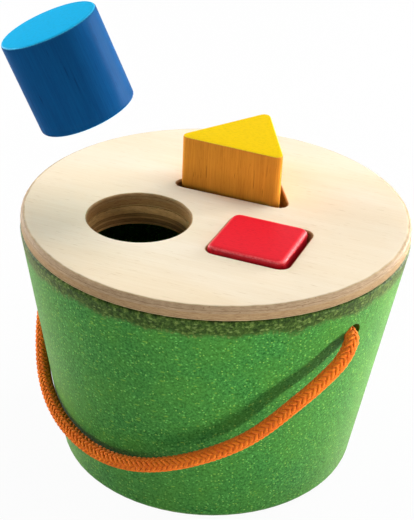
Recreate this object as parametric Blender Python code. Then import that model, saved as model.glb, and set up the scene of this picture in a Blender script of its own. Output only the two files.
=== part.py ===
"""A shape sorter: a tapered bucket, a lift-off lid with three holes, three blocks and a rope handle.

The origin is at the middle of the bucket's underside, +Z is up and -Y is the side of the lid where the
round and the square hole are. The blocks are where the photograph shows them: the prism half way in its
hole, the square block almost flush, and the cylinder in the air above the round hole, tilted.
"""

import math

import bmesh
import bpy
from mathutils import Matrix, Vector

MM = 0.001

# Gap left between pieces that touch
seat_gap = 0.3 * MM

# Bucket of pressed wood fibre
foot_radius = 57.9 * MM
rim_radius = 73.0 * MM
bucket_height = 95.5 * MM
wall = 5.0 * MM
floor_thickness = 6.0 * MM
foot_round = 3.0 * MM
rim_round = 1.0 * MM
inner_round = 2.0 * MM

# Lid: a plywood board with a locating disc under it
lid_setback = 0.4 * MM
lid_thickness = 5.2 * MM
lid_top_round = 2.0 * MM
lid_bottom_round = 0.5 * MM
disc_thickness = 7.5 * MM
disc_clearance = 1.0 * MM
disc_round = 0.8 * MM
hole_rim_round = 0.9 * MM

# Blocks: each hole is its block's outline let out by the clearance
block_height = 34.2 * MM
cylinder_radius = 17.5 * MM
cylinder_clearance = 1.6 * MM
cylinder_edge_round = 1.0 * MM
prism_side = 44.0 * MM
prism_clearance = 1.6 * MM
prism_corner_round = 2.4 * MM
prism_edge_round = 0.6 * MM
prism_turn = math.radians(-2.5)
square_side = 29.1 * MM
square_clearance = 0.9 * MM
square_corner_round = 3.2 * MM
square_edge_round = 1.8 * MM

# Middles of the three holes, x and y as shares of the lid's radius
round_hole_shares = (-0.306, -0.285)
prism_hole_shares = (0.012, 0.326)
square_hole_shares = (0.334, -0.258)

# How far the two seated blocks stand out of the lid
prism_rise = 19.5 * MM
square_rise = 2.0 * MM

# The cylinder in the air: where its middle is, seen from the middle of the round hole
hover_bearing = math.radians(201)
hover_side = 25.1 * MM
hover_rise = 55.9 * MM
hover_tilt = math.radians(23.2)
mouth_depth = 5.0 * MM

# Rope handle, knotted on the inside of the wall
rope_radius = 2.7 * MM
rope_slack = 1.3 * MM
rope_hole_drop = 15.7 * MM
rope_turn = math.radians(-25)
knot_radius = 6.0 * MM
knot_length = 10.0 * MM
knot_tail = 5.0 * MM
rope_run_steps = 4

# The rope's route: degrees round the bucket, drop below the holes, and stand-off in radii of the rope
rope_route = [
    (-0.1, 0, -0.93),
    (-0.6, 0.1 * MM, -0.11),
    (-1.8, 0.6 * MM, 0.80),
    (-3.8, 1.6 * MM, 1.42),
    (-5.6, 3.7 * MM, 1.85),
    (-8.6, 7.1 * MM, 2.20),
    (-13.8, 12.1 * MM, 2.44),
    (-19.1, 17.5 * MM, 2.56),
    (-35.7, 36.1 * MM, 2.15),
    (-65.9, 52.8 * MM, 1.70),
    (-95.3, 55.7 * MM, 1.17),
    (-129.0, 46.6 * MM, 1.12),
    (-154.9, 27.5 * MM, 1.93),
    (-169.5, 8.6 * MM, 2.19),
    (-174.4, 3.7 * MM, 1.85),
    (-176.2, 1.6 * MM, 1.42),
    (-178.2, 0.6 * MM, 0.80),
    (-179.4, 0.1 * MM, -0.11),
    (-179.9, 0, -0.93),
]

# Facets
turn_steps = 72
small_turn_steps = 48
knot_turn_steps = 20
round_steps = 4
knot_steps = 8
rope_ring_steps = 4
merge_share = 0.01
smooth_angle = math.radians(40)
soft_edge_angle = math.radians(50)

# Sizes that follow from those above
wall_slope = (rim_radius - foot_radius) / bucket_height
lid_radius = rim_radius - lid_setback
lid_bottom = bucket_height + seat_gap
lid_top = lid_bottom + lid_thickness
disc_top = lid_bottom - seat_gap
disc_bottom = disc_top - disc_thickness
round_hole_x, round_hole_y = [share * lid_radius for share in round_hole_shares]
prism_hole_x, prism_hole_y = [share * lid_radius for share in prism_hole_shares]
square_hole_x, square_hole_y = [share * lid_radius for share in square_hole_shares]
rope_hole_radius = rope_radius + rope_slack
rope_hole_height = bucket_height - rope_hole_drop
rope_line = Vector((math.cos(rope_turn), math.sin(rope_turn), 0))
cutter_overrun = wall


def outer_radius(height):
    """Radius of the bucket's outside at a height."""
    return foot_radius + wall_slope * height


def inner_radius(height):
    """Radius of the bucket's inside at a height."""
    return outer_radius(height) - wall


def clear_scene():
    """Removes whatever the new file came with."""
    for thing in list(bpy.data.objects):
        bpy.data.objects.remove(thing)


def material(name, colour, roughness):
    """A plain painted or bare surface."""
    made = bpy.data.materials.new(name)
    made.use_nodes = True
    surface = made.node_tree.nodes["Principled BSDF"]
    surface.inputs["Base Color"].default_value = (*colour, 1)
    surface.inputs["Roughness"].default_value = roughness
    surface.inputs["Metallic"].default_value = 0
    made.diffuse_color = (*colour, 1)
    return made


def rounded(corners, steps=round_steps):
    """The outline through corners, each (x, y, radius), with an arc in place of each rounded corner."""
    points = []
    for index, (x, y, radius) in enumerate(corners):
        corner = Vector((x, y))
        if not radius:
            points.append(corner)
            continue
        before = (Vector(corners[index - 1][:2]) - corner).normalized()
        after = (Vector(corners[(index + 1) % len(corners)][:2]) - corner).normalized()
        half_angle = before.angle(after) / 2
        centre = corner + (before + after).normalized() * radius / math.sin(half_angle)
        start = corner + before * radius / math.tan(half_angle) - centre
        end = corner + after * radius / math.tan(half_angle) - centre
        sweep = start.angle_signed(end)
        for step in range(steps + 1):
            points.append(centre + Matrix.Rotation(-sweep * step / steps, 2) @ start)
    return points


def add_object(name, mesh, surface):
    """Puts a mesh into the scene under its own name."""
    thing = bpy.data.objects.new(name, mesh)
    bpy.context.scene.collection.objects.link(thing)
    if surface:
        mesh.materials.append(surface)
    return thing


def finish_mesh(name, shape, surface):
    """Turns a bmesh into an object with outward faces and smooth round sides."""
    bmesh.ops.recalc_face_normals(shape, faces=shape.faces)
    mesh = bpy.data.meshes.new(name)
    shape.to_mesh(mesh)
    shape.free()
    mesh.shade_smooth()
    mesh.set_sharp_from_angle(angle=smooth_angle)
    return add_object(name, mesh, surface)


def turned(name, outline, surface, steps=turn_steps):
    """A solid turned about Z from an outline of (radius, height) that starts and ends on the axis."""
    shape = bmesh.new()
    points = [shape.verts.new((point.x, 0, point.y)) for point in outline]
    edges = [shape.edges.new(pair) for pair in zip(points, points[1:])]
    bmesh.ops.spin(
        shape,
        geom=points + edges,
        cent=(0, 0, 0),
        axis=(0, 0, 1),
        angle=math.tau,
        steps=steps,
        use_merge=True,
    )
    bmesh.ops.remove_doubles(shape, verts=shape.verts, dist=seat_gap * merge_share)
    return finish_mesh(name, shape, surface)


def stacked(name, layers, surface):
    """A solid through layers of (outline, height), whose outlines have the same number of points."""
    shape = bmesh.new()
    rings = []
    for outline, height in layers:
        rings.append([shape.verts.new((point.x, point.y, height)) for point in outline])
    shape.faces.new(rings[0])
    shape.faces.new(rings[-1])
    for low, high in zip(rings, rings[1:]):
        for index in range(len(low)):
            shape.faces.new((low[index - 1], low[index], high[index], high[index - 1]))
    return finish_mesh(name, shape, surface)


def extruded(name, outline, height, surface):
    """A solid of one outline, its height shared above and below its origin."""
    return stacked(name, [(outline, -height / 2), (outline, height / 2)], surface)


def soften(thing, width):
    """Rounds the edges between the ends and the sides of an extruded solid."""
    bevel = thing.modifiers.new("soft_edges", "BEVEL")
    bevel.width = width
    bevel.segments = round_steps
    bevel.limit_method = "ANGLE"
    bevel.angle_limit = soft_edge_angle


def cut(thing, cutter):
    """Takes the cutter's shape out of a solid and keeps the cutter as a wire guide."""
    cutter.hide_render = True
    cutter.display_type = "WIRE"
    hole = thing.modifiers.new(cutter.name, "BOOLEAN")
    hole.operation = "DIFFERENCE"
    hole.solver = "EXACT"
    hole.object = cutter


def circle(radius, steps):
    """A round outline."""
    turns = [math.tau * step / steps for step in range(steps)]
    return [Vector((radius * math.cos(turn), radius * math.sin(turn))) for turn in turns]


def round_outline(clearance, flare=0):
    """The cylinder's outline, let out by a clearance and a flare."""
    return circle(cylinder_radius + clearance + flare, small_turn_steps)


def prism_outline(clearance, flare=0):
    """The prism's outline, one corner at +Y, let out by a clearance and a flare."""
    reach = prism_side / math.sqrt(3) + 2 * (clearance + flare)
    turns = [math.pi / 2 + math.tau * step / 3 for step in range(3)]
    corner_round = prism_corner_round + clearance / 2 + flare
    return rounded([(reach * math.cos(turn), reach * math.sin(turn), corner_round) for turn in turns])


def square_outline(clearance, flare=0):
    """The square block's outline, let out by a clearance and a flare."""
    half = square_side / 2 + clearance + flare
    corners = [(half, half), (-half, half), (-half, -half), (half, -half)]
    corner_round = square_corner_round + clearance / 2 + flare
    return rounded([(x, y, corner_round) for x, y in corners])


def make_bucket(surface):
    """The tapered shell, with a hole for the rope through each side."""
    floor_radius = inner_radius(floor_thickness)
    profile = rounded(
        [
            (0, 0, 0),
            (foot_radius, 0, foot_round),
            (rim_radius, bucket_height, rim_round),
            (rim_radius - wall, bucket_height, rim_round),
            (floor_radius, floor_thickness, inner_round),
            (0, floor_thickness, 0),
        ]
    )
    bucket = turned("bucket", profile, surface)
    length = 2 * (rim_radius + cutter_overrun)
    drill = extruded("rope_hole_cutter", circle(rope_hole_radius, knot_turn_steps), length, None)
    drill.location = (0, 0, rope_hole_height)
    drill.rotation_euler = rope_line.to_track_quat("Z", "Y").to_euler()
    cut(bucket, drill)


def hole_layers(outline, clearance):
    """A hole's outlines and their heights from the lid's top, wider towards its rounded rim."""
    layers = [(outline(clearance), disc_bottom - lid_top - cutter_overrun)]
    for step in range(round_steps + 1):
        turn = math.pi / 2 * step / round_steps
        flare = hole_rim_round * (1 - math.cos(turn))
        layers.append((outline(clearance, flare), hole_rim_round * (math.sin(turn) - 1)))
    return [*layers, (outline(clearance, hole_rim_round), cutter_overrun)]


def make_hole_cutters():
    """The three hole shapes, long enough for the board and the disc."""
    holes = [
        ("round_hole_cutter", round_outline, cylinder_clearance, round_hole_x, round_hole_y),
        ("prism_hole_cutter", prism_outline, prism_clearance, prism_hole_x, prism_hole_y),
        ("square_hole_cutter", square_outline, square_clearance, square_hole_x, square_hole_y),
    ]
    cutters = []
    for name, outline, clearance, x, y in holes:
        cutter = stacked(name, hole_layers(outline, clearance), None)
        cutter.location = (x, y, lid_top)
        cutters.append(cutter)
    return cutters


def make_lid(surface):
    """The board and the disc that locates it in the bucket's mouth, both with the three holes."""
    cutters = make_hole_cutters()
    board_profile = rounded(
        [
            (0, 0, 0),
            (lid_radius, 0, lid_bottom_round),
            (lid_radius, lid_thickness, lid_top_round),
            (0, lid_thickness, 0),
        ]
    )
    board = turned("lid_board", board_profile, surface)
    board.location = (0, 0, lid_bottom)
    disc_radius = inner_radius(disc_bottom) - disc_clearance
    disc_profile = rounded(
        [
            (0, 0, 0),
            (disc_radius, 0, disc_round),
            (disc_radius, disc_thickness, 0),
            (0, disc_thickness, 0),
        ]
    )
    disc = turned("lid_locating_disc", disc_profile, surface)
    disc.location = (0, 0, disc_bottom)
    for piece in (board, disc):
        for cutter in cutters:
            cut(piece, cutter)


def make_prism(surface):
    """The triangular block, a little turned, resting against the left side of its hole."""
    prism = extruded("prism_block", prism_outline(0), block_height, surface)
    soften(prism, prism_edge_round)
    corner_reach = prism_side / math.sqrt(3) - 2 * prism_corner_round
    turned_reach = corner_reach * math.cos(math.pi / 3 - abs(prism_turn)) + prism_corner_round
    play = prism_side / math.sqrt(12) + prism_clearance - turned_reach
    left_side = math.radians(150)
    lean = Vector((math.cos(left_side), math.sin(left_side), 0)) * (play - seat_gap)
    middle = Vector((prism_hole_x, prism_hole_y, lid_top + prism_rise - block_height / 2))
    prism.location = middle + lean
    prism.rotation_euler = (0, 0, prism_turn)


def make_square(surface):
    """The square block, resting against the front and left sides of its hole."""
    square = extruded("square_block", square_outline(0), block_height, surface)
    soften(square, square_edge_round)
    lean = square_clearance - seat_gap
    middle = lid_top + square_rise - block_height / 2
    square.location = (square_hole_x - lean, square_hole_y - lean, middle)


def make_cylinder(surface):
    """The round block in the air, under an empty on the axis about which it swings to its hole."""
    half = block_height / 2
    profile = rounded(
        [
            (0, -half, 0),
            (cylinder_radius, -half, cylinder_edge_round),
            (cylinder_radius, half, cylinder_edge_round),
            (0, half, 0),
        ]
    )
    cylinder = turned("cylinder_block", profile, surface, small_turn_steps)
    outward = Vector((math.cos(hover_bearing), math.sin(hover_bearing), 0))
    upward = Vector((0, 0, 1))
    axis = upward.cross(outward)
    hole = Vector((round_hole_x, round_hole_y, lid_top))
    hover = hole + outward * hover_side + upward * hover_rise
    mouth = hole + upward * (half - mouth_depth)
    chord = hover - mouth
    pivot = (hover + mouth) / 2 - axis.cross(chord) / (2 * math.tan(-hover_tilt / 2))
    swing = bpy.data.objects.new("cylinder_swing_axis", None)
    bpy.context.scene.collection.objects.link(swing)
    swing.location = pivot
    cylinder.parent = swing
    tilt = Matrix.Rotation(hover_tilt, 4, axis)
    cylinder.matrix_local = Matrix.Translation(hover - pivot) @ tilt


def rope_point(place):
    """A point of the route, from degrees round the bucket, drop and stand-off."""
    turn, drop, stand_off = place
    bearing = rope_turn + math.radians(turn)
    height = rope_hole_height - drop
    reach = outer_radius(height) + stand_off * rope_radius
    return Vector((reach * math.cos(bearing), reach * math.sin(bearing), height))


def smooth_route(places, steps):
    """Places along a smooth curve through the given ones."""
    rows = [Vector(place) for place in places]
    ends = [rows[0] * 2 - rows[1], *rows, rows[-1] * 2 - rows[-2]]
    curve = []
    for before, start, end, after in zip(ends, ends[1:], ends[2:], ends[3:]):
        for step in range(steps):
            share = step / steps
            curve.append(
                (
                    start * 2
                    + (end - before) * share
                    + (before * 2 - start * 5 + end * 4 - after) * share**2
                    + (start * 3 - before - end * 3 + after) * share**3
                )
                / 2
            )
    return [*curve, rows[-1]]


def make_rope(surface):
    """The rope, hanging against the front left of the bucket, and its two knots inside the wall."""
    inner_face = -wall / rope_radius
    route = [(0, 0, inner_face), *rope_route, (-180, 0, inner_face)]
    points = [rope_point(place) for place in smooth_route(route, rope_run_steps)]
    path = bpy.data.curves.new("handle_rope", "CURVE")
    path.dimensions = "3D"
    path.bevel_depth = rope_radius
    path.bevel_resolution = rope_ring_steps
    path.use_fill_caps = True
    spline = path.splines.new("POLY")
    spline.points.add(len(points) - 1)
    for spline_point, point in zip(spline.points, points):
        spline_point.co = (*point, 1)
    add_object("handle_rope", path, surface)
    reach = inner_radius(rope_hole_height) - seat_gap
    for name, side in (("rope_knot_right", 1), ("rope_knot_left", -1)):
        knot = turned(name, knot_profile(), surface, knot_turn_steps)
        inward = -side * rope_line
        knot.location = Vector((0, 0, rope_hole_height)) + side * rope_line * reach
        knot.rotation_euler = inward.to_track_quat("Z", "Y").to_euler()


def knot_profile():
    """A knot and the rope's short tail, from the wall inwards."""
    swell = knot_radius - rope_radius
    turns = [math.pi * step / knot_steps for step in range(knot_steps + 1)]
    bulge = [
        Vector((rope_radius + swell * math.sin(turn), knot_length * turn / math.pi)) for turn in turns
    ]
    end = knot_length + knot_tail
    return [Vector((0, 0)), *bulge, Vector((rope_radius, end)), Vector((0, end))]


def main():
    clear_scene()
    pressed_wood = material("pressed_wood", (0.05, 0.27, 0.06), 0.55)
    plywood = material("plywood", (0.85, 0.70, 0.50), 0.6)
    blue_paint = material("blue_paint", (0.01, 0.28, 0.72), 0.35)
    yellow_paint = material("yellow_paint", (0.90, 0.62, 0.02), 0.35)
    red_paint = material("red_paint", (0.74, 0.02, 0.04), 0.35)
    orange_braid = material("orange_braid", (0.72, 0.17, 0.03), 0.85)
    make_bucket(pressed_wood)
    make_lid(plywood)
    make_prism(yellow_paint)
    make_square(red_paint)
    make_cylinder(blue_paint)
    make_rope(orange_braid)


main()
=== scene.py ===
import math

import bmesh
import bpy
import numpy as np
from mathutils import Matrix, Vector


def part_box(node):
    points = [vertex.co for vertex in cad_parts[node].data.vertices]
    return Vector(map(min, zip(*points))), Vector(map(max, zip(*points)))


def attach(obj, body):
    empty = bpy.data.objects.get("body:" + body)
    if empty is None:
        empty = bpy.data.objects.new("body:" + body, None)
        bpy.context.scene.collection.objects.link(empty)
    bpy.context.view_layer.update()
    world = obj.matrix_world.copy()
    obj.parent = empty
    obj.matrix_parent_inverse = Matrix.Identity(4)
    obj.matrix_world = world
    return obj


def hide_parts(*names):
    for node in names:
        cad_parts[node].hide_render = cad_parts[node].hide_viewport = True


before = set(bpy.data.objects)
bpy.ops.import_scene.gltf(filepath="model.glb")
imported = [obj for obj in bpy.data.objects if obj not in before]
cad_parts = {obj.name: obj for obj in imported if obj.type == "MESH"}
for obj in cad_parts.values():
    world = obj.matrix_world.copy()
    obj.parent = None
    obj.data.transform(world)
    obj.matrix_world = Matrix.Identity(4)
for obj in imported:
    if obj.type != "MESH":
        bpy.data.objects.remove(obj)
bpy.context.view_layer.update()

MM = 0.001
upright = Vector((0, 0, 1))


def placed(name, data):
    """A new object in the scene."""
    thing = bpy.data.objects.new(name, data)
    bpy.context.scene.collection.objects.link(thing)
    return thing


# Camera at the photograph's viewing angle

camera_place = Vector((155.5, -405.0, 322.6)) * MM
camera_target = Vector((0, 0, 71.2)) * MM
camera_roll = math.radians(2.66)
camera_lens = 113.5
camera_sensor = 36
camera_shift = (-0.016, 0.0365)
camera_near = 10 * MM


def make_camera():
    """The camera, level but for its roll."""
    data = bpy.data.cameras.new("camera")
    data.sensor_fit = "HORIZONTAL"
    data.sensor_width = camera_sensor
    data.lens = camera_lens
    data.shift_x, data.shift_y = camera_shift
    data.clip_start = camera_near
    forward = (camera_target - camera_place).normalized()
    right = forward.cross(upright).normalized()
    up = right.cross(forward)
    turned_right = right * math.cos(camera_roll) + up * math.sin(camera_roll)
    turned_up = up * math.cos(camera_roll) - right * math.sin(camera_roll)
    axes = Matrix((turned_right, turned_up, -forward)).transposed()
    camera = placed("camera", data)
    camera.matrix_world = Matrix.Translation(camera_place) @ axes.to_4x4()
    bpy.context.scene.camera = camera


# Sizes of the bucket, the lid and the rope, as in the CAD source

foot_radius = 57.9 * MM
rim_radius = 73.0 * MM
bucket_height = 95.5 * MM
wall = 5.0 * MM
lid_radius = 72.6 * MM
rope_radius = 2.7 * MM
rope_hole_height = 79.8 * MM
rope_turn = math.radians(-25)
rope_line = Vector((math.cos(rope_turn), math.sin(rope_turn), 0))

# The rope's route, as in the CAD source: degrees round the bucket, drop below the holes,
# and stand-off in radii of the rope

inner_face = -wall / rope_radius
rope_route = [
    (0, 0, inner_face),
    (-0.1, 0, -0.93),
    (-0.6, 0.1 * MM, -0.11),
    (-1.8, 0.6 * MM, 0.80),
    (-3.8, 1.6 * MM, 1.42),
    (-5.6, 3.7 * MM, 1.85),
    (-8.6, 7.1 * MM, 2.20),
    (-13.8, 12.1 * MM, 2.44),
    (-19.1, 17.5 * MM, 2.56),
    (-35.7, 36.1 * MM, 2.15),
    (-65.9, 52.8 * MM, 1.70),
    (-95.3, 55.7 * MM, 1.17),
    (-129.0, 46.6 * MM, 1.12),
    (-154.9, 27.5 * MM, 1.93),
    (-169.5, 8.6 * MM, 2.19),
    (-174.4, 3.7 * MM, 1.85),
    (-176.2, 1.6 * MM, 1.42),
    (-178.2, 0.6 * MM, 0.80),
    (-179.4, 0.1 * MM, -0.11),
    (-179.9, 0, -0.93),
    (-180, 0, inner_face),
]
rope_run_steps = 12

# The braid: strands that go over two and under two, half of them each way round

strand_count = 16
strands_each_way = strand_count // 2
crossing_step = 0.39 * rope_radius
crossings_per_wave = 4
wave_steepness = 1.6
strand_middle = 0.74 * rope_radius
strand_wave = 0.115 * rope_radius
strand_half_width = 0.25 * rope_radius
strand_half_depth = 0.145 * rope_radius
strand_sides = 6
steps_per_crossing = 3
core_radius = 0.63 * rope_radius
core_sides = 12


def outer_radius(height):
    """Radius of the bucket's outside at a height."""
    return foot_radius + (rim_radius - foot_radius) * height / bucket_height


def rope_point(place):
    """A point of the route, from degrees round the bucket, drop and stand-off."""
    turn, drop, stand_off = place
    bearing = rope_turn + math.radians(turn)
    height = rope_hole_height - drop
    reach = outer_radius(height) + stand_off * rope_radius
    return Vector((reach * math.cos(bearing), reach * math.sin(bearing), height))


def smooth_route(places, steps):
    """Places along a smooth curve through the given ones."""
    rows = [Vector(place) for place in places]
    ends = [rows[0] * 2 - rows[1], *rows, rows[-1] * 2 - rows[-2]]
    curve = []
    for before, start, end, after in zip(ends, ends[1:], ends[2:], ends[3:]):
        for step in range(steps):
            share = step / steps
            curve.append(
                (
                    start * 2
                    + (end - before) * share
                    + (before * 2 - start * 5 + end * 4 - after) * share**2
                    + (start * 3 - before - end * 3 + after) * share**3
                )
                / 2
            )
    return [*curve, rows[-1]]


def evenly(points, spacing):
    """The line through points again, with its points a given distance apart."""
    line = np.array([tuple(point) for point in points])
    along = np.concatenate([[0], np.cumsum(np.linalg.norm(np.diff(line, axis=0), axis=1))])
    count = max(2, int(round(along[-1] / spacing)) + 1)
    at = np.linspace(0, along[-1], count)
    return at, np.stack([np.interp(at, along, line[:, axis]) for axis in range(3)], axis=1)


def unit(rows):
    """Each row with a length of 1."""
    return rows / np.linalg.norm(rows, axis=1)[:, None]


def carried_frames(line):
    """Two side directions at each point of a line, carried along it without twist."""
    ahead = unit(np.gradient(line, axis=0))
    side = np.cross(ahead[0], upright)
    side /= np.linalg.norm(side)
    sides = []
    for direction in ahead:
        side = side - direction * (side @ direction)
        side /= np.linalg.norm(side)
        sides.append(side)
    sides = np.array(sides)
    return sides, np.cross(ahead, sides)


def tube_points(line, wide, deep, sides):
    """Points of a tube round a line, ring by ring, from its half width and half depth."""
    columns = []
    for side in range(sides):
        turn = math.tau * side / sides
        columns.append(line + wide * math.cos(turn) + deep * math.sin(turn))
    return np.stack(columns, axis=1).reshape(-1, 3).tolist()


def tube_faces(rings, sides, first):
    """Faces of a capped tube whose rings start at a vertex number."""
    faces = []
    for ring in range(rings - 1):
        low = first + ring * sides
        for side in range(sides):
            after = (side + 1) % sides
            faces.append((low + side, low + after, low + sides + after, low + sides + side))
    last = first + (rings - 1) * sides
    faces.append(tuple(reversed(range(first, first + sides))))
    faces.append(tuple(range(last, last + sides)))
    return faces


def braided(name, points, materials, thickness=1):
    """A braided rope along points, over a core coloured darker as painted shade; thickness is a
    share of the rope's own.
    """
    step = crossing_step * thickness
    along, line = evenly(points, step / steps_per_crossing)
    first_side, second_side = carried_frames(line)
    crossing = along / step
    vertices = []
    faces = []
    for strand in range(strand_count):
        way = 1 if strand < strands_each_way else -1
        column = 2 * (strand % strands_each_way) + way * crossing
        phase = math.tau * (column - 0.5) / crossings_per_wave
        wave = way * np.clip(wave_steepness * np.cos(phase), -1, 1)
        angle = math.tau * column / strand_count
        outward = first_side * np.cos(angle)[:, None] + second_side * np.sin(angle)[:, None]
        reach = (strand_middle + strand_wave * wave) * thickness
        middle = line + outward * reach[:, None]
        run = unit(np.gradient(middle, axis=0))
        across = unit(np.cross(run, outward))
        wide = across * strand_half_width * thickness
        deep = np.cross(across, run) * strand_half_depth * thickness
        faces += tube_faces(len(line), strand_sides, len(vertices))
        vertices += tube_points(middle, wide, deep, strand_sides)
    strand_faces = len(faces)
    wide = first_side * core_radius * thickness
    deep = second_side * core_radius * thickness
    faces += tube_faces(len(line), core_sides, len(vertices))
    vertices += tube_points(line, wide, deep, core_sides)
    mesh = bpy.data.meshes.new(name)
    mesh.from_pydata(vertices, [], faces)
    mesh.shade_smooth()
    for material in materials:
        mesh.materials.append(material)
    for face in mesh.polygons[strand_faces:]:
        face.material_index = 1
    return placed(name, mesh), line


# Knots: the rope goes in, once round itself, and out. A place is a depth from the wall's
# inner face, a distance across and a height above the middle of the hole

knot_turn_radius = 4.0 * MM
knot_thickness = 0.84
knot_low = 3.4 * MM
knot_high = 9.4 * MM
knot_middle = (knot_low + knot_high) / 2
knot_core_offset = 1.3 * MM
knot_tail_end = 16.0 * MM
knot_way_in = [
    (-1.5 * MM, 0, 0),
    (1.0 * MM, 0.4 * MM, 0),
    (knot_middle, knot_core_offset, 0),
    (knot_high, knot_core_offset * 1.6, 0.6 * MM),
]
knot_way_out = [
    (knot_low + 1.2 * MM, -0.6 * MM, 1.6 * MM),
    (knot_middle, -knot_core_offset * 1.2, 0),
    (knot_high, -knot_core_offset, -0.3 * MM),
    (knot_tail_end - 3 * MM, -0.6 * MM, 0),
    (knot_tail_end, -0.2 * MM, -0.5 * MM),
]
knot_wrap_start = 20
knot_wrap_degrees = 390
knot_wrap_steps = 18
knot_run_steps = 6


def knot_points(side):
    """The knotted end, from the inner face of the wall towards the bucket's middle."""
    inward = -side * rope_line
    level = upright.cross(inward)
    reach = outer_radius(rope_hole_height) - wall
    start = upright * rope_hole_height + side * rope_line * reach
    wrap = []
    for step in range(knot_wrap_steps + 1):
        share = step / knot_wrap_steps
        turn = math.radians(knot_wrap_start + knot_wrap_degrees * share)
        depth = knot_high + (knot_low - knot_high) * share
        wrap.append((depth, knot_turn_radius * math.cos(turn), knot_turn_radius * math.sin(turn)))
    points = []
    for depth, across, height in (*knot_way_in, *wrap, *knot_way_out):
        points.append(start + inward * depth + level * across + upright * height)
    return smooth_route(points, knot_run_steps)


# Materials


class Surface:
    """A material and the nodes that are added to it."""

    def __init__(self, name, **constants):
        self.material = bpy.data.materials.new(name)
        self.material.use_nodes = True
        self.tree = self.material.node_tree
        self.shader = self.tree.nodes["Principled BSDF"]
        for socket, value in constants.items():
            self.shader.inputs[socket.replace("_", " ")].default_value = value

    def add(self, kind, inputs, out=0, **settings):
        """One output of a new node that is fed by values or by other nodes' outputs."""
        node = self.tree.nodes.new(kind)
        for key, value in settings.items():
            setattr(node, key, value)
        for key, value in inputs.items():
            if isinstance(value, bpy.types.NodeSocket):
                self.tree.links.new(value, node.inputs[key])
            else:
                node.inputs[key].default_value = value
        return node.outputs[out]

    def show(self, socket, value):
        """Feeds the shader."""
        self.tree.links.new(value, self.shader.inputs[socket])

    def local(self, kind="Object"):
        """The point of the object's own space, or with Normal the way the surface faces there."""
        return self.add("ShaderNodeTexCoord", {}, kind)

    def turned(self, vector, stretch=(1, 1, 1), place=(0, 0, 0), turn=(0, 0, 0)):
        """A vector as seen in a turned frame, with each axis stretched."""
        return self.add(
            "ShaderNodeMapping",
            {"Vector": vector, "Location": place, "Rotation": turn, "Scale": stretch},
            vector_type="TEXTURE",
        )

    def upward(self, vector):
        """A vector's share along the upright axis."""
        return self.add("ShaderNodeSeparateXYZ", {"Vector": vector}, "Z")

    def noise(self, size, stretch=(1, 1, 1), detail=2.0, coarse=0.5, wobble=0.0, **where):
        """Noise from 0 to 1 with marks of a size."""
        return self.add(
            "ShaderNodeTexNoise",
            {
                "Vector": self.turned(self.local(), stretch, **where),
                "Scale": 1 / size,
                "Detail": detail,
                "Roughness": coarse,
                "Distortion": wobble,
            },
            "Fac",
        )

    def dots(self, size, stretch, radius, rarity, fade=0.04):
        """Soft dots: spacing, the share of it that a dot reaches, and the share left out."""
        inputs = {"Vector": self.turned(self.local(), stretch), "Scale": 1 / size}
        far = self.add("ShaderNodeTexVoronoi", inputs, "Distance")
        colour = self.add("ShaderNodeTexVoronoi", inputs, "Color")
        chance = self.add("ShaderNodeSeparateColor", {"Color": colour}, "Red")
        shown = self.between(chance, rarity, rarity + fade)
        return self.maths("MULTIPLY", self.between(far, radius, radius / 2), shown)

    def within(self, outer, inner):
        """From 0 at one radius about the upright axis to 1 at a smaller one, and further in."""
        flat = self.add(
            "ShaderNodeVectorMath", {0: self.local(), 1: (1, 1, 0)}, "Vector", operation="MULTIPLY"
        )
        reach = self.add("ShaderNodeVectorMath", {0: flat}, "Value", operation="LENGTH")
        return self.between(reach, outer, inner)

    def between(self, value, low, high, start=0.0, end=1.0):
        """From start to end as the value goes from low to high."""
        return self.add(
            "ShaderNodeMapRange",
            {"Value": value, "From Min": low, "From Max": high, "To Min": start, "To Max": end},
        )

    def maths(self, operation, first, second=0.0):
        """One or two numbers put through an operation."""
        return self.add("ShaderNodeMath", {0: first, 1: second}, operation=operation)

    def mix(self, share, first, second, blend="MIX"):
        """Two colours mixed."""
        return self.add(
            "ShaderNodeMix", {0: share, 6: first, 7: second}, 2, data_type="RGBA", blend_type=blend
        )

    def tinted(self, base, share, tint):
        """A colour multiplied by a tint, as far as a share says."""
        return self.mix(share, base, tint, "MULTIPLY")

    def bands(self, value, stops):
        """A colour ramp."""
        node = self.tree.nodes.new("ShaderNodeValToRGB")
        self.tree.links.new(value, node.inputs["Fac"])
        marks = node.color_ramp.elements
        while len(marks) < len(stops):
            marks.new(0)
        for mark, (position, colour) in zip(marks, stops):
            mark.position = position
            mark.color = colour
        return node.outputs["Color"]

    def bump(self, value, strength, depth):
        """Surface relief from a number."""
        return self.add(
            "ShaderNodeBump", {"Height": value, "Strength": strength, "Distance": depth}, "Normal"
        )


def ink(red, green, blue):
    """A colour as a screen shows it, from 0 to 255, as Blender's own numbers."""
    linear = []
    for value in (red, green, blue):
        share = value / 255
        linear.append(share / 12.92 if share <= 0.04045 else ((share + 0.055) / 1.055) ** 2.4)
    return (*linear, 1)


def darker(colour, share):
    """A colour with a share of its light."""
    return (*(share * part for part in colour[:3]), 1)


# Specks in the green: spacing, stretch, the share of the spacing that one reaches, the
# share left out, and colour

specks = [
    (1.1 * MM, (1.5, 0.8, 1.0), 0.34, 0.6, ink(104, 178, 84)),
    (1.4 * MM, (0.8, 1.6, 0.8), 0.3, 0.76, ink(136, 186, 84)),
    (2.1 * MM, (2.6, 0.45, 0.5), 0.26, 0.62, ink(120, 166, 58)),
]
band_bottom = 88.6 * MM
band_fade = 2.2 * MM
band_rough_reach = 1.3 * MM
band_wander_reach = 1.2 * MM


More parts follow.
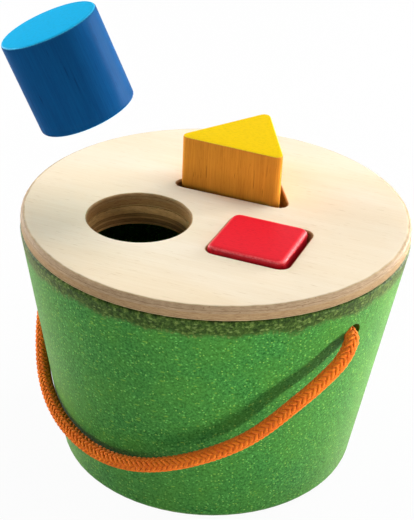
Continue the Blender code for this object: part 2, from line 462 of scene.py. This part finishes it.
def pressed_wood():
    """Green wood fibre, pressed, with pale specks and a rough browner band under the rim, whose
    dark colours are partly painted shade under the lid.
    """
    look = Surface(
        "pressed_wood",
        Roughness=0.5,
        Specular_IOR_Level=0.08,
        Sheen_Weight=0.18,
        Sheen_Roughness=0.4,
        Sheen_Tint=ink(252, 246, 176),
    )
    grain = look.between(look.noise(0.9 * MM, detail=2.0, coarse=0.75), 0.3, 0.7)
    cloud = look.between(look.noise(15 * MM, detail=3.0, coarse=0.6), 0.35, 0.65)
    green = look.mix(grain, ink(12, 82, 26), ink(76, 150, 68))
    green = look.mix(look.maths("MULTIPLY", cloud, 0.3), green, ink(82, 140, 42))
    for size, stretch, radius, rarity, colour in specks:
        green = look.mix(look.dots(size, stretch, radius, rarity), green, colour)
    coarse = look.noise(1.5 * MM, detail=3.0, coarse=0.75)
    # The band's colours: rough brown-green fibre, made darker as painted shade under the lid.
    brown_and_painted_shade = look.bands(
        coarse,
        [
            (0.3, ink(18, 32, 8)),
            (0.45, ink(42, 66, 22)),
            (0.58, ink(72, 98, 38)),
            (0.74, ink(130, 144, 72)),
        ],
    )
    granules = look.dots(1.2 * MM, (1.8, 1.8, 0.8), radius=0.4, rarity=0.5)
    brown_and_painted_shade = look.mix(look.maths("MULTIPLY", granules, 0.4), brown_and_painted_shade, ink(150, 172, 96))
    wander = look.noise(9 * MM, detail=3.0)
    edge = look.upward(look.local())
    for unevenness, reach in ((coarse, band_rough_reach), (wander, band_wander_reach)):
        edge = look.maths("ADD", edge, look.between(unevenness, 0.3, 0.7, -reach, reach))
    band = look.between(edge, band_bottom, band_bottom + band_fade)
    look.show("Base Color", look.mix(band, green, brown_and_painted_shade))
    rough = look.maths("MULTIPLY", coarse, look.between(band, 0, 1, 0.2, 1.0))
    relief = look.maths("ADD", look.maths("MULTIPLY", grain, 0.35), rough)
    look.show("Normal", look.bump(relief, strength=0.35, depth=0.5 * MM))
    return look.material


ply_wave = 0.06 * MM
face_depth = 0.2 * MM
face_full_depth = 0.05 * MM
lid_edge_depth = 3 * MM
lid_inside_depth = 5 * MM


def plywood(name, low, high, plies):
    """Sheets of wood glued together: the colours of the plies at heights, the top's grain, and
    painted shade on the holes' walls.
    """
    look = Surface(name, Roughness=0.55, Specular_IOR_Level=0.1)
    stops = []
    for height, colour in plies:
        stops.append(((height - low) / (high - low), colour))
    wave = look.between(look.noise(6 * MM), 0, 1, -ply_wave, ply_wave)
    level = look.maths("ADD", look.upward(look.local()), wave)
    layers = look.bands(look.between(level, low, high), stops)
    fine = look.noise(0.45 * MM, (34, 1, 1), detail=3.0, coarse=0.6)
    broad = look.noise(4.5 * MM, (9, 1, 1), detail=2.0, wobble=0.4)
    tone = look.noise(26 * MM, (2.2, 1, 1), detail=1.0, place=(40 * MM, 0, 0))
    dash = look.noise(0.55 * MM, (9, 1, 1), detail=1.0, place=(0, 3 * MM, 0))
    face = look.mix(look.between(fine, 0.35, 0.72), (1, 1, 1, 1), (0.96, 0.94, 0.90, 1))
    face = look.tinted(face, look.between(broad, 0.4, 0.7, 0.0, 0.6), (0.97, 0.95, 0.92, 1))
    face = look.tinted(face, look.between(tone, 0.35, 0.65), (0.97, 0.93, 0.86, 1))
    face = look.tinted(face, look.between(dash, 0.68, 0.74, 0.0, 0.5), (0.80, 0.74, 0.62, 1))
    streak = look.noise(0.3 * MM, (9, 9, 1), detail=4.0, coarse=0.75)
    rim = look.mix(look.between(streak, 0.35, 0.68), (1.14, 1.15, 1.17, 1), (0.66, 0.60, 0.54, 1))
    pits = look.dots(1.2 * MM, (1.3, 1.3, 0.6), radius=0.2, rarity=0.62)
    rim = look.mix(pits, rim, (0.45, 0.37, 0.3, 1))
    # The holes' walls, further in than the lid's edge, are tinted darker and warmer: painted shade
    # inside the holes and a painted warm reflection.
    painted_hole_shade = look.within(lid_radius - lid_edge_depth, lid_radius - lid_inside_depth)
    rim = look.tinted(rim, painted_hole_shade, (0.92, 0.76, 0.5, 1))
    on_top = look.between(level, high - face_depth, high - face_full_depth)
    texture = look.mix(on_top, rim, face)
    look.show("Base Color", look.tinted(layers, 1.0, texture))
    relief = look.maths("ADD", fine, streak)
    look.show("Normal", look.bump(relief, strength=0.12, depth=0.2 * MM))
    return look.material


# Colours of the lid's face and of its plies' edges

lid_face = ink(251, 237, 213)
ply_bright = ink(212, 184, 140)
ply_pale = ink(186, 162, 122)
ply_inner = ink(172, 147, 116)
ply_core = ink(168, 139, 102)
ply_seam = ink(132, 106, 78)
ply_glue = ink(128, 98, 66)


def board_plywood():
    """The plies of the lid's board."""
    low, high = (corner.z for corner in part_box("lid_board"))
    return plywood(
        "plywood_board",
        low,
        high,
        [
            (low, ply_pale),
            (low + 0.45 * MM, ply_pale),
            (low + 0.6 * MM, ply_glue),
            (low + 0.75 * MM, ply_core),
            (high - 2.5 * MM, ply_core),
            (high - 2.2 * MM, ply_inner),
            (high - 1.5 * MM, ply_inner),
            (high - 1.35 * MM, ply_seam),
            (high - 1.2 * MM, ply_inner),
            (high - 0.35 * MM, ply_inner),
            (high - 0.15 * MM, ply_pale),
            (high - 0.04 * MM, lid_face),
            (high, lid_face),
        ],
    )


# The disc's top is glued under the board, so its material's own top lies higher than that
beyond_glued_top = 1 * MM


def disc_plywood():
    """The plies of the disc under the board."""
    low, high = (corner.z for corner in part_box("lid_locating_disc"))
    return plywood(
        "plywood_disc",
        low,
        high + beyond_glued_top,
        [
            (low, ply_bright),
            (low + 0.9 * MM, ply_bright),
            (low + 1.1 * MM, ply_glue),
            (low + 1.3 * MM, ply_core),
            (low + 2.4 * MM, ply_core),
            (low + 2.6 * MM, ply_bright),
            (low + 3.1 * MM, ply_bright),
            (low + 3.3 * MM, ply_core),
            (low + 4.2 * MM, ply_core),
            (low + 4.4 * MM, ply_glue),
            (low + 4.6 * MM, ply_bright),
            (high, ply_bright),
        ],
    )


def painted(name, end, side, dark, worn_and_highlight, roughness, streak, gloss, **where):
    """Stained wood: an end colour, and sides with streaks of grain along the block as it lies; the
    sides are darker partly for grain and partly as painted shade, and the rounded top edges are
    lightened as worn paint and painted highlight.
    """
    look = Surface(name, Roughness=roughness, Specular_IOR_Level=gloss)
    fine = look.noise(0.5 * MM, (1, 1, 38), detail=3.0, coarse=0.6, **where)
    broad = look.noise(3.5 * MM, (1, 1, 14), detail=2.0, wobble=0.5, **where)
    fine_part = look.maths("MULTIPLY", fine, 0.6)
    broad_part = look.maths("MULTIPLY", broad, 0.4)
    grain = look.between(look.maths("ADD", fine_part, broad_part), 0.38, 0.64)
    body = look.mix(look.maths("MULTIPLY", grain, streak), side, dark)
    line = look.noise(0.9 * MM, (1, 1, 30), detail=3.0, coarse=0.65, **where)
    off_line = look.maths("ABSOLUTE", look.maths("SUBTRACT", line, 0.5))
    body = look.mix(look.between(off_line, 0.025, 0.0, 0.0, streak), body, dark)
    crack = look.noise(0.5 * MM, (1, 1, 18), detail=1.0, **where)
    body = look.mix(look.between(crack, 0.72, 0.76, 0.0, 0.8), body, darker(dark, 0.5))
    pores = look.noise(0.7 * MM, (2.5, 0.8, 1), detail=3.0, coarse=0.75)
    top = look.mix(look.between(pores, 0.5, 0.72, 0.0, 0.6), end, darker(end, 0.7))
    facing = look.turned(look.local("Normal"), turn=where.get("turn", (0, 0, 0)))
    up = look.upward(facing)
    cap = look.between(look.maths("ABSOLUTE", up), 0.6, 0.8)
    # Ends take the end colour and sides the side colours; the sides' darkness is partly grain and
    # partly painted shade.
    paint = look.mix(cap, body, top)
    # Lighter rounded top edges: worn paint and a painted highlight.
    edge = look.maths("MULTIPLY", look.between(up, 0.45, 0.65), look.between(up, 0.98, 0.85))
    wear_and_highlight = look.noise(0.5 * MM, detail=2.0, coarse=0.8)
    wear_and_highlight = look.maths("MULTIPLY", edge, look.between(wear_and_highlight, 0.35, 0.65, 0.1, 0.6))
    look.show("Base Color", look.mix(wear_and_highlight, paint, worn_and_highlight))
    relief = look.mix(cap, fine, pores)
    look.show("Normal", look.bump(relief, strength=0.15, depth=0.2 * MM))
    return look.material


# Where the cylinder block hangs and how it is tilted, as worked out in the CAD source

hover_tilt = math.radians(23.2)
hover_bearing = math.radians(201)
hover_place = Vector((-45.65, -29.69, 156.9)) * MM


def blue_paint():
    """The cylinder block's colours, with the grain along its tilted axis."""
    axis = upright.cross(Vector((math.cos(hover_bearing), math.sin(hover_bearing), 0)))
    return painted(
        "blue_paint",
        end=ink(4, 178, 232),
        # The side colours are darker than the end partly for side grain and partly as painted
        # shade; the worn colour lightens the rounded top edges as worn paint and painted
        # highlight.
        side=ink(16, 76, 126),
        dark=ink(12, 60, 108),
        worn_and_highlight=ink(96, 206, 244),
        roughness=0.35,
        streak=0.55,
        gloss=0.005,
        place=hover_place,
        turn=Matrix.Rotation(hover_tilt, 3, axis).to_euler(),
    )


def yellow_paint():
    """The prism block's colours."""
    return painted(
        "yellow_paint",
        end=ink(244, 203, 10),
        # The side colours are darker than the end partly for side grain and partly as painted
        # shade; the worn colour lightens the rounded top edges as worn paint and painted
        # highlight.
        side=ink(214, 140, 46),
        dark=ink(170, 98, 30),
        worn_and_highlight=ink(250, 222, 80),
        roughness=0.4,
        streak=0.42,
        gloss=0.02,
    )


def red_paint():
    """The square block's colours."""
    return painted(
        "red_paint",
        end=ink(230, 30, 46),
        # The side colours are darker than the end partly for side grain and partly as painted
        # shade; the worn colour lightens the rounded top edges as worn paint and painted
        # highlight.
        side=ink(190, 22, 36),
        dark=ink(150, 16, 28),
        worn_and_highlight=ink(244, 130, 130),
        roughness=0.35,
        streak=0.4,
        gloss=0.06,
    )


def rope_yarn():
    """Orange braided yarn."""
    look = Surface(
        "orange_braid",
        Roughness=0.85,
        Specular_IOR_Level=0.1,
        Sheen_Weight=0.06,
        Sheen_Roughness=0.5,
    )
    fuzz = look.noise(0.25 * MM, detail=3.0, coarse=0.7)
    cloud = look.noise(7 * MM, detail=1.0)
    yarn = look.mix(look.between(fuzz, 0.3, 0.7), ink(216, 96, 22), ink(248, 142, 40))
    yarn = look.mix(look.between(cloud, 0.35, 0.7, 0.0, 0.3), yarn, ink(218, 88, 26))
    look.show("Base Color", yarn)
    look.show("Normal", look.bump(fuzz, strength=0.3, depth=0.15 * MM))
    return look.material


def shaded_rope_core():
    """The yarn deep between the strands, coloured darker as painted shade."""
    look = Surface("orange_braid_core", Roughness=0.95, Specular_IOR_Level=0.0)
    fuzz = look.noise(0.3 * MM, detail=2.0, coarse=0.7)
    yarn = look.mix(look.between(fuzz, 0.3, 0.7), ink(96, 22, 6), ink(136, 40, 10))
    look.show("Base Color", yarn)
    return look.material


# Pieces

smooth_angle = math.radians(35)
weld_distance = 0.001 * MM


def dressed(node, body, material, name):
    """A smooth-shaded piece in the shape of a CAD node, which it stands for."""
    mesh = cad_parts[node].data.copy()
    shape = bmesh.new()
    shape.from_mesh(mesh)
    bmesh.ops.remove_doubles(shape, verts=shape.verts, dist=weld_distance)
    shape.to_mesh(mesh)
    shape.free()
    for attribute in ("custom_normal", "sharp_face"):
        if attribute in mesh.attributes:
            mesh.attributes.remove(mesh.attributes[attribute])
    mesh.name = name
    mesh.shade_smooth()
    mesh.set_sharp_from_angle(angle=smooth_angle)
    mesh.materials.clear()
    mesh.materials.append(material)
    piece = placed(name, mesh)
    weighted = piece.modifiers.new("flat_faces", "WEIGHTED_NORMAL")
    weighted.keep_sharp = True
    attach(piece, body)
    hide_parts(node)


def make_pieces():
    """Every piece but the rope and its knots."""
    dressed("bucket", "bucket", pressed_wood(), "bucket_shell")
    dressed("lid_board", "lid", board_plywood(), "lid_top_board")
    dressed("lid_locating_disc", "lid", disc_plywood(), "lid_under_disc")
    dressed("cylinder_block", "cylinder_block", blue_paint(), "blue_cylinder")
    dressed("prism_block", "prism_block", yellow_paint(), "yellow_prism")
    dressed("square_block", "square_block", red_paint(), "red_square")


def make_rope():
    """The braided handle and its two knots."""
    materials = [rope_yarn(), shaded_rope_core()]
    points = [rope_point(place) for place in smooth_route(rope_route, rope_run_steps)]
    rope, line = braided("rope_braid", points, materials)
    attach(rope, "handle")
    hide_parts("handle_rope")
    for side, node in ((1, "rope_knot_right"), (-1, "rope_knot_left")):
        knot = braided(node + "_tied", knot_points(side), materials, knot_thickness)[0]
        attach(knot, "handle")
        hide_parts(node)


# Floor and background


def on_rays(tree, kinds):
    """1 for rays of the named kinds, 0 for others."""
    path = tree.nodes.new("ShaderNodeLightPath")
    seen = path.outputs[kinds[0]]
    for kind in kinds[1:]:
        larger = tree.nodes.new("ShaderNodeMath")
        larger.operation = "MAXIMUM"
        tree.links.new(seen, larger.inputs[0])
        tree.links.new(path.outputs[kind], larger.inputs[1])
        seen = larger.outputs[0]
    return seen


floor_size = 6.0
floor_height = -0.2 * MM
floor_grey = (0.6, 0.6, 0.6, 1)
floor_white_share = 0.96


def make_floor():
    """A pale floor that keeps the shadow and looks white to the camera."""
    mesh = bpy.data.meshes.new("floor")
    half = floor_size / 2
    corners = [(-half, -half, 0), (half, -half, 0), (half, half, 0), (-half, half, 0)]
    mesh.from_pydata(corners, [], [(0, 1, 2, 3)])
    floor = placed("floor", mesh)
    floor.location.z = floor_height
    material = bpy.data.materials.new("floor")
    material.use_nodes = True
    tree = material.node_tree
    tree.nodes.clear()
    plain = tree.nodes.new("ShaderNodeBsdfDiffuse")
    plain.inputs["Color"].default_value = floor_grey
    white = tree.nodes.new("ShaderNodeEmission")
    white.inputs["Strength"].default_value = 1.0
    share = tree.nodes.new("ShaderNodeMath")
    share.operation = "MULTIPLY"
    tree.links.new(on_rays(tree, ("Is Camera Ray", "Is Glossy Ray")), share.inputs[0])
    share.inputs[1].default_value = floor_white_share
    mixed = tree.nodes.new("ShaderNodeMixShader")
    tree.links.new(share.outputs[0], mixed.inputs[0])
    tree.links.new(plain.outputs[0], mixed.inputs[1])
    tree.links.new(white.outputs[0], mixed.inputs[2])
    out = tree.nodes.new("ShaderNodeOutputMaterial")
    tree.links.new(mixed.outputs[0], out.inputs["Surface"])
    mesh.materials.append(material)


world_fill = 0.03


def make_world():
    """White where it is seen or mirrored, and a soft fill for everything else."""
    world = bpy.data.worlds.new("studio")
    bpy.context.scene.world = world
    world.use_nodes = True
    tree = world.node_tree
    back = tree.nodes["Background"]
    back.inputs["Color"].default_value = (1, 1, 1, 1)
    seen = on_rays(tree, ("Is Camera Ray", "Is Glossy Ray", "Is Transmission Ray"))
    strength = tree.nodes.new("ShaderNodeMapRange")
    tree.links.new(seen, strength.inputs["Value"])
    strength.inputs["To Min"].default_value = world_fill
    strength.inputs["To Max"].default_value = 1.0
    tree.links.new(strength.outputs[0], back.inputs["Strength"])


# Lamps: each looks at the bucket's axis, from a bearing and a rise in degrees

lamp_distance = 0.8
lamp_aim = 60 * MM
wide_open = 180


def make_light(
    name, bearing, rise, wide, tall, power, distance=lamp_distance, aim=lamp_aim, spread=wide_open
):
    """A lamp with its size and power, the height that it looks at and its beam in degrees."""
    data = bpy.data.lights.new(name, "AREA")
    data.shape = "RECTANGLE"
    data.size = wide
    data.size_y = tall
    data.energy = power
    data.spread = math.radians(spread)
    light = placed(name, data)
    turn = math.radians(bearing)
    lift = math.radians(rise)
    level = distance * math.cos(lift)
    reach = Vector((level * math.cos(turn), level * math.sin(turn), distance * math.sin(lift)))
    light.location = Vector((0, 0, aim)) + reach
    light.rotation_euler = (-reach).to_track_quat("-Z", "Y").to_euler()


def make_lights():
    """One lamp overhead, two behind, two in front and four weak ones with narrow beams."""
    make_light("overhead", 50, 60, wide=1.7, tall=1.7, power=25, distance=1.6)
    make_light("right_back", 57, 8, wide=0.35, tall=0.35, power=8.2)
    make_light("left_back", 165, 12, wide=0.4, tall=0.4, power=6.8)
    make_light("left_front", -150, 0, wide=0.4, tall=0.1, power=0.95)
    make_light("front", -100, 14, wide=0.4, tall=0.2, power=0.85)
    make_light("front_high", -92, 12, wide=0.3, tall=0.1, power=0.02, aim=128 * MM, spread=12)
    make_light("front_low", -98, -1, wide=0.4, tall=0.05, power=0.07, aim=50 * MM, spread=40)
    make_light("right_front", -2, -1, wide=0.3, tall=0.12, power=0.165, aim=55 * MM, spread=16)
    make_light("right_high", 42, 3, wide=0.12, tall=0.3, power=0.12, aim=172 * MM, spread=12)


make_camera()
make_rope()
make_pieces()
make_floor()
make_world()
make_lights()

bpy.context.scene.view_settings.view_transform = "Standard"
bpy.context.view_layer.update()
